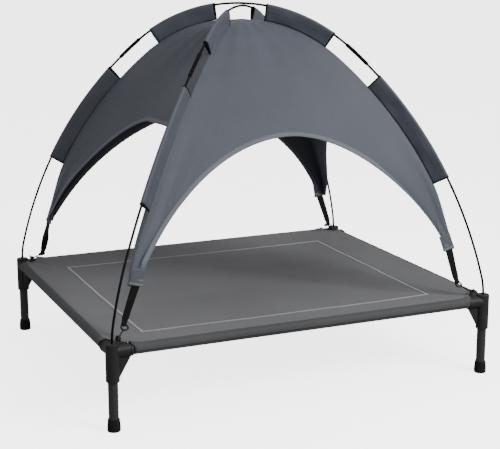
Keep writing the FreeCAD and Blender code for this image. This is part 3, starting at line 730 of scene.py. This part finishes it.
bandCut = {
    "width": 0.040,
    "twistedWidth": 0.036,
    "thickness": 0.0036,
    "swell": 0.12,
    "shift": 0.019,           # from the seam to the band's own middle
    "hem": 0.007,
    "box": (0.005, 0.006, 0.010),    # the stitched box, from the band's sides, top and low end
}
strapCut = {
    "top": 0.025,
    "low": 0.0185,
    "pinch": 0.0125,          # width where it goes round the hook
    "thickness": 0.0018,
    "foldBack": 0.034,
}
hookCut = {"loop": 0.0095, "wire": 0.0025, "lean": math.radians(64)}


def tailBand(corner):
    way = bandWays[corner]
    width = bandCut["twistedWidth" if corner == "bl" else "width"]
    topOut, topHeight = canopyCut["tailTop"]
    top = onSpoke(corner, topOut - 0.0005, topHeight + 0.002) + way * bandCut["shift"]
    low = onSpoke(corner, *canopyCut["bandLow"]) + way * bandCut["shift"]
    share = np.linspace(0, 1, 14)[:, None]
    path = top + (low - top) * share
    widths = width * (1 - 0.03 * np.sin(share[:, 0] * math.pi))
    band = ribbon("tailBand_" + corner, path, way, widths, bandCut["thickness"], "canopy", bandCut["swell"])
    along = unit(low - top)
    face = unit(np.cross(way, along))
    face = face * np.sign(np.dot(face, spokes[corner]))
    hemPath = low + along * np.linspace(-bandCut["hem"], 0.0006, 4)[:, None]
    # The band's hem is painted lighter too: a painted highlight.
    hem = ribbon("tailHem_" + corner, hemPath, way, np.full(4, width + 0.0008),
                 bandCut["thickness"] + 0.0012, "hem")
    for piece in (band, hem):
        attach(piece, "canopy")
    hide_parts("tail_band_" + corner)
    # A stitched box with a cross holds the strap inside the band.
    lift = face * (bandCut["thickness"] / 2 * (1 + bandCut["swell"]) + 0.0003)
    fromSide, boxTop, fromLow = bandCut["box"]
    half = width / 2 - fromSide
    boxLow = np.linalg.norm(low - top) - fromLow
    spots = [(-half, boxTop), (half, boxTop), (half, boxLow), (-half, boxLow)]
    for sign in (1, -1):
        ends = [top + way * x + along * y + lift * sign for x, y in spots]
        for first, second in ((0, 1), (1, 2), (2, 3), (3, 0), (0, 2), (1, 3)):
            canopyThread.run(np.linspace(ends[first], ends[second], 12), np.tile(face * sign, (12, 1)))
    return low


def hookBar(corner):
    # The middle of that side of the hook's loop which the strap goes round.
    low, high = (np.array(point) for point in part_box("strap_hook_" + corner))
    signX, signY = cornerSigns[corner]
    heading = np.array([0, -signY * math.sin(hookCut["lean"]) * math.sqrt(0.5), math.cos(hookCut["lean"])])
    up = unit(heading)
    reach = hookCut["loop"] * np.array([1, abs(up[1]), up[2]]) + hookCut["wire"]
    inner = np.array([high[0] if signX < 0 else low[0], high[1] if signY < 0 else low[1], high[2]])
    middle = inner - reach * np.array([-signX, -signY, 1])
    return middle + up * hookCut["loop"]


def elasticStrap(corner, low):
    # Out of the band, down to the hook, round its loop and back up a little way.
    bar = hookBar(corner)
    pull = unit(low - bar)
    level = np.array([-cornerSigns[corner][0], 0.0, 0.0])
    face = unit(np.cross(level, pull)) * cornerSigns[corner][1] * -cornerSigns[corner][0]
    wrap = hookCut["wire"] + strapCut["thickness"] / 2 + 0.0004
    down = np.linspace(low + pull * 0.004, bar + face * wrap, 30)
    turn = [bar + face * wrap * math.cos(angle) - pull * wrap * math.sin(angle)
            for angle in np.linspace(0.12, math.pi - 0.12, 9)]
    share = np.linspace(0, 1, 14)[:, None]
    settle = smoothStep(share, 0.0, 0.45)
    back = bar - face * wrap + pull * strapCut["foldBack"] * share + face * (2 * wrap - 0.0021) * settle
    path = np.concatenate([down[:-1], turn, back[1:]])
    height = np.clip(np.sum((path - bar) * pull, axis=1), 0, None)
    risen = height / np.linalg.norm(low - bar)
    widths = strapCut["low"] + (strapCut["top"] - strapCut["low"]) * np.clip(risen, 0, 1)
    widths = strapCut["pinch"] + (widths - strapCut["pinch"]) * smoothStep(height, 0.001, 0.022)
    twist = smoothStep(risen, 0.15, 0.9)[:, None]
    ways = level * (1 - twist) + bandWays[corner] * twist
    strap = ribbon("elasticStrap_" + corner, path, ways, widths, strapCut["thickness"], "webbing", columns=6)
    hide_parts("elastic_strap_" + corner)
    tuple(bar + [0, 0, 0.007])
    low[2] - 0.002
    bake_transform(strap)


for corner in cornerSigns:
    elasticStrap(corner, tailBand(corner))
canopyThread.finish("canopyStitches", "canopy")
print("tails, bands and straps made")


bedCut = {
    "railRadius": 0.0156,     # cloth round the rail, from its middle
    "cornerCut": 0.050,       # how far the hemmed cut-out round each hub reaches along the rails
    "cutFullness": 1.5,       # 1 cuts straight across, 2 cuts a round arc
    "armCover": 0.0203,       # cloth over the end of a bracket arm, from the arm's middle
    "sleeveStart": 0.059,     # where a rail's sleeve begins, from the hub
    "sleeveTongue": 0.0085,   # how much further its top reaches over the arm
    "flap": 0.0012,           # how far a sleeve's overlapping flap stands off
    "flapRows": (-3.0, 62.0),    # where it is stitched, in degrees up round the rail
    "flapDent": 0.0011,       # how far the upper row pulls it in
    "blend": 0.024,           # how far along the rails the rise over an arm fades out
    "dip": 0.0135,            # how far the flat middle lies below the top of the rails
    "slope": 0.060,
    "sag": 0.004,
    "folds": 0.0016,          # height of the folds gathered at the corners
    "stripe": (0.470, 0.384, 0.010),    # half its length and half its breadth, then the tape's width
    "stripeRound": 3.4,       # once round it, for the weave
    "columns": 151,
    "rows": (22, 90),         # past each corner's cut-out, and between the cut-outs
}
bedTop = railHeight + bedCut["railRadius"]


def bedHeight(x, y):
    # The stretched sheet comes off the rails, dips to a flat middle and gathers at its corners,
    # where it rises over the ends of the bracket arms.
    insetX = np.maximum(hubX - np.abs(x), 0)
    insetY = np.maximum(hubY - np.abs(y), 0)
    slope = bedCut["slope"]
    rimX = np.exp(-(insetX / slope) ** 1.25)
    rimY = np.exp(-(insetY / slope) ** 1.25)
    rim = 1 - (1 - rimX) * (1 - rimY)
    middle = np.cos(np.clip(x / hubX, -1, 1) * math.pi / 2) * np.cos(np.clip(y / hubY, -1, 1) * math.pi / 2)
    height = bedTop - bedCut["dip"] * (1 - rim) - bedCut["sag"] * middle
    away = np.hypot(insetX, insetY)
    turn = np.arctan2(insetY, insetX)
    pull = np.exp(-((away - 0.06) / 0.10) ** 2) * smoothStep(away, 0.055, 0.09)
    sides = np.sin(np.clip(turn, 0, math.pi / 2) * 2)
    folds = bedCut["folds"] * np.sin(turn * 13 + np.sign(x) * 0.8 + np.sign(y) * 0.5) * pull * sides
    edge = smoothStep(insetX, 0.01, 0.05) * smoothStep(insetY, 0.01, 0.05)
    drift = 0.0006 * np.sin(x * 17 + 0.4) * np.sin(y * 13 + 1.1) + 0.0005 * np.sin(y * 41 + x * 6)
    height = height + folds + drift * edge
    cover, cut = bedCut["armCover"], bedCut["cornerCut"]
    for aside, along in ((insetX, insetY), (insetY, insetX)):
        arm = railHeight + np.sqrt(np.maximum(cover ** 2 - aside ** 2, 0))
        height = height + np.maximum(arm - height, 0) * (1 - smoothStep(along, cut, cut + bedCut["blend"]))
    return height


def bedHalfWidth(y):
    # Half the sheet's width at this place from front to back: each corner is cut out round its hub.
    cut, full = bedCut["cornerCut"], bedCut["cutFullness"]
    left = np.clip(hubY - np.abs(y), 0, cut)
    return hubX - (cut ** full - left ** full) ** (1 / full)


def bedRows():
    cut = bedCut["cornerCut"]
    arcRows, middleRows = bedCut["rows"]
    arc = hubY - cut + cut * (1 - np.cos(np.linspace(0, math.pi / 2, arcRows)))
    middle = np.linspace(-(hubY - cut), hubY - cut, middleRows)
    return np.concatenate([-arc[:0:-1], middle, arc[1:]])


bedThread = Stitching(length=0.0036, gap=0.0020, width=0.0008)
crowd = math.pi / 2 * 0.92    # the columns stand closer together at the rails
across = np.sin(np.linspace(-1, 1, bedCut["columns"]) * crowd) / math.sin(crowd)
rowY = bedRows()
gridX = bedHalfWidth(rowY)[:, None] * across[None, :]
gridY = np.repeat(rowY[:, None], len(across), axis=1)
bedGrid = np.stack([gridX, gridY, bedHeight(gridX, gridY)], axis=2)
bedSheet = addSheet("bedSheet", bedGrid, "bed", thickness=0.0010)
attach(bedSheet, "bed_frame")
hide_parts("bed_sheet")


def cornerHem(corner):
    # The folded, stitched edge of the cut-out round one hub.
    signX, signY = cornerSigns[corner]
    cut, full = bedCut["cornerCut"], bedCut["cutFullness"]
    angles = np.radians(np.linspace(3, 87, 30))
    insetX, insetY = cut * np.cos(angles) ** (2 / full), cut * np.sin(angles) ** (2 / full)
    x, y = signX * (hubX - insetX), signY * (hubY - insetY)
    path = np.stack([x, y, bedHeight(x, y)], axis=1)
    away = np.stack([-signX * insetX ** (full - 1), -signY * insetY ** (full - 1), np.zeros(30)], axis=1)
    inner = path + unit(away) * 0.02
    inner[:, 2] = bedHeight(inner[:, 0], inner[:, 1])
    up = np.tile(upright, (30, 1))
    roll = edgeRoll(path, inner, up, width=0.012, lift=0.0013, radius=0.0017)
    hem = addSheet("bedCornerHem_" + corner, roll, "bed", thickness=0.0)
    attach(hem, "bed_frame")
    stitched = path + unit(inner - path) * 0.009 + up * 0.0016
    bedThread.run(stitched, up)
    return hem


cornerHems = [cornerHem(corner) for corner in cornerSigns]


def railSleeve(side):
    # The sheet's own edge goes over the rail and back under, closed by an overlapped, sewn flap.
    alongX = side in ("front", "back")
    outward = {"front": (0, -1), "back": (0, 1), "left": (-1, 0), "right": (1, 0)}[side]
    half = (hubX if alongX else hubY) - bedCut["sleeveStart"]
    rail = hubY if alongX else hubX
    radius = bedCut["railRadius"]
    spots = []
    for angle in np.linspace(90, -8, 22):           # the overlapping flap, from the top to mid-face
        dent = bedCut["flapDent"] * math.exp(-((angle - bedCut["flapRows"][1]) / 5.0) ** 2)
        lump = bedCut["flap"] + (0.0006 if angle < -2 else 0.0) - dent
        spots.append((angle, radius + lump))
    spots += [(-8.5, radius + bedCut["flap"]), (-9.0, radius + 0.0001)]
    for angle in np.linspace(-14, -196, 30):        # the cloth underneath, round to the inner side
        spots.append((angle, radius + 0.0002 * math.sin(angle * 0.3)))
    spots = np.array(spots)
    places = np.linspace(-half, half, 120)
    rows = []
    for place in places:
        puckered = 0.0004 * math.sin(place * 190) + 0.0003 * math.sin(place * 71 + 1)
        angle = np.radians(spots[:, 0])
        reach = spots[:, 1] + puckered * np.exp(-((spots[:, 0] - 40) / 60) ** 2)
        flare = (bedCut["armCover"] - radius) * (1 - smoothStep(half - abs(place), 0.0, bedCut["blend"]))
        reach = reach + flare * smoothStep(spots[:, 0], -60.0, 60.0)
        flat = rail + reach * np.cos(angle)
        height = railHeight + reach * np.sin(angle)
        tongue = bedCut["sleeveTongue"] * smoothStep(abs(place), half - 0.03, half)
        along = place + math.copysign(tongue, place) * smoothStep(spots[:, 0], 15.0, 75.0)
        if alongX:
            rows.append(np.stack([along, flat * outward[1], height], axis=1))
        else:
            rows.append(np.stack([flat * outward[0], along, height], axis=1))
    grid = np.stack(rows)
    # The sleeve takes the sheet's cloth painted darker: painted shade on the rail.
    piece = addSheet("railSleeve_" + side, grid, "bedRail")
    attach(piece, "bed_frame")
    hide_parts("rail_sleeve_" + side)
    face = np.array([*outward, 0.0])
    run = np.array([1.0, 0, 0]) if alongX else np.array([0, 1.0, 0])
    for angle in bedCut["flapRows"]:
        lean = math.radians(angle)
        normal = face * math.cos(lean) + upright * math.sin(lean)
        line = face * rail + upright * railHeight + normal * (radius + 0.0016)
        path = (line + run * places[:, None])[4:-4]
        bedThread.run(path, np.tile(normal, (len(path), 1)))


for side in archways:
    railSleeve(side)


def stripeTape():
    # One narrow light tape sewn flat round the middle, mitred at its corners.
    halfX, halfY, width = bedCut["stripe"]
    ring = [(-halfX, -halfY), (halfX, -halfY), (halfX, halfY), (-halfX, halfY)]
    rows = []
    # Its section: how far in from the outer edge, and how far above the cloth.
    for inset, lift in ((0.0, 0.0004), (0.0006, 0.0012), (width / 2, 0.0013), (width - 0.0006, 0.0012),
                        (width, 0.0004)):
        loop = []
        ends = [(x - math.copysign(inset, x), y - math.copysign(inset, y)) for x, y in ring]
        for (x0, y0), (x1, y1) in zip(ends, ends[1:] + ends[:1]):
            share = np.linspace(0, 1, 70, endpoint=False)
            loop.append(np.stack([x0 + (x1 - x0) * share, y0 + (y1 - y0) * share], axis=1))
        flat = np.concatenate(loop)
        rows.append(np.column_stack([flat, bedHeight(flat[:, 0], flat[:, 1]) + lift + 0.0003]))
    grid = np.stack(rows)
    count, around = grid.shape[:2]
    uvs = np.stack([np.repeat(np.linspace(0, width, count), around),
                    np.tile(np.linspace(0, bedCut["stripeRound"], around), count)], axis=1)
    piece = addPiece("bedStripe", grid.reshape(-1, 3), gridFaces(count, around, True), uvs, "stripe")
    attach(piece, "bed_frame")
    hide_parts("bed_stripe")
    for row in (1, 3):
        bedThread.run(grid[row] + upright * 0.0004, np.tile(upright, (around, 1)))
    return piece


stripe = stripeTape()
round(gridArea(bedGrid), 4)
bedThread.finish("bedStitches", "bed_frame")
print("bed cloth made")


studio = {
    "cameraAt": (-1.5597, -3.6246, 1.3364),
    "cameraTurn": 23.71,
    "cameraDown": 13.11,
    "lens": 91.53,
    "sensor": 36.0,
    "sightEnd": 200.0,
    "floorReach": 60.0,
    "floorTone": 0.86,
    "floorGlow": 3.4,
    "skyStrength": 0.45,
}
lights = {
    "key": dict(at=(1.7, -3.2, 2.8), aim=(0, -0.1, 0.6), size=(1.8, 1.4), power=260),
    "overhead": dict(at=(-0.6, -0.4, 4.2), aim=(0, 0, 0.2), size=(3.2, 3.2), power=50),
    "side": dict(at=(-4.0, 0.5, 1.8), aim=(0, 0, 0.5), size=(1.6, 1.6), power=25),
}


def addCamera():
    camera = bpy.data.cameras.new("camera")
    camera.lens = studio["lens"]
    camera.sensor_width = studio["sensor"]
    camera.clip_end = studio["sightEnd"]
    item = bpy.data.objects.new("camera", camera)
    item.location = studio["cameraAt"]
    item.rotation_euler = (math.radians(90 - studio["cameraDown"]), 0, -math.radians(studio["cameraTurn"]))
    bpy.context.scene.collection.objects.link(item)
    bpy.context.scene.camera = item


def addFloor():
    finish = Finish("floorFinish")
    faint = finish.noise(finish.place(), scale=1.5)
    pale = tone(*[studio["floorTone"]] * 3)
    colour = finish.mix(faint, pale, scaled(pale, 0.985))
    finishes["floor"] = finish.shade(Base_Color=colour, Roughness=0.75, Specular_IOR_Level=0.2,
                                     Emission_Color=tone(1, 1, 1), Emission_Strength=studio["floorGlow"])
    reach = studio["floorReach"]
    rim = [(x * reach, y * reach, 0) for x, y in cornerSigns.values()]
    floor = addPiece("floor", rim, [(0, 1, 2, 3)], None, "floor", False)
    floor.visible_diffuse = False    # its glow whitens the floor without lighting the bed from below
    floor.visible_glossy = False


def addLight(name, at, aim, size, power):
    light = bpy.data.lights.new(name, "AREA")
    light.shape = "RECTANGLE"
    light.size, light.size_y = size
    light.energy = power
    item = bpy.data.objects.new(name, light)
    item.location = at
    item.rotation_euler = (Vector(aim) - Vector(at)).to_track_quat("-Z", "Y").to_euler()
    bpy.context.scene.collection.objects.link(item)


def addSky():
    world = bpy.data.worlds.new("studio")
    world.use_nodes = True
    backdrop = world.node_tree.nodes["Background"]
    backdrop.inputs["Color"].default_value = (1.0, 1.0, 1.0, 1.0)
    backdrop.inputs["Strength"].default_value = studio["skyStrength"]
    bpy.context.scene.world = world


addCamera()
addFloor()
for name, light in lights.items():
    addLight(name, **light)
addSky()
print("studio set")
